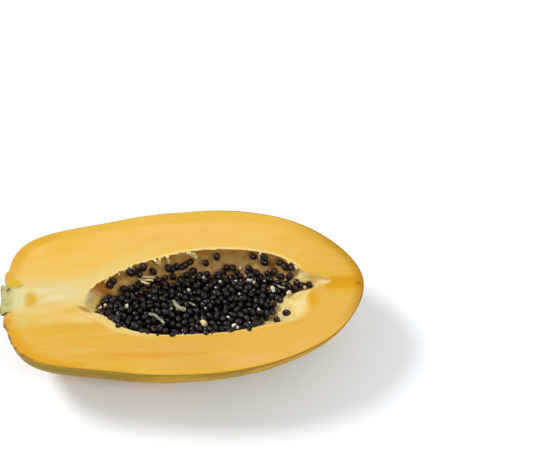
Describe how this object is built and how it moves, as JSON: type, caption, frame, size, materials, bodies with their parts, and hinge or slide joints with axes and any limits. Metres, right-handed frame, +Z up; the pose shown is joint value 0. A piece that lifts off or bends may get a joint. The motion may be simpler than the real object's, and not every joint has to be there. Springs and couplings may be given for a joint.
{
  "type": "halved papaya",
  "caption": "Ripe papaya cut in half from end to end, lying on its skin with the cut face up, its cavity heaped with dark seeds.",
  "frame": {"origin": "on the table under the middle of the fruit half, in the flat spot that it rests on", "axes": "+X runs along the fruit from the stem to the blossom end, +Y across the cut face towards the side where the cavity shows free, +Z up, square to the cut face"},
  "size_m": [0.2311, 0.117, 0.0585],
  "materials": {
    "fruit": "satin",
    "stem": "matte",
    "seed": "gloss",
    "placenta": "satin"
  },
  "bodies": {
    "root": {"fruit_half": "fruit", "stem_stub": "stem", "seeds": "seed"}
  },
  "joints": []
}
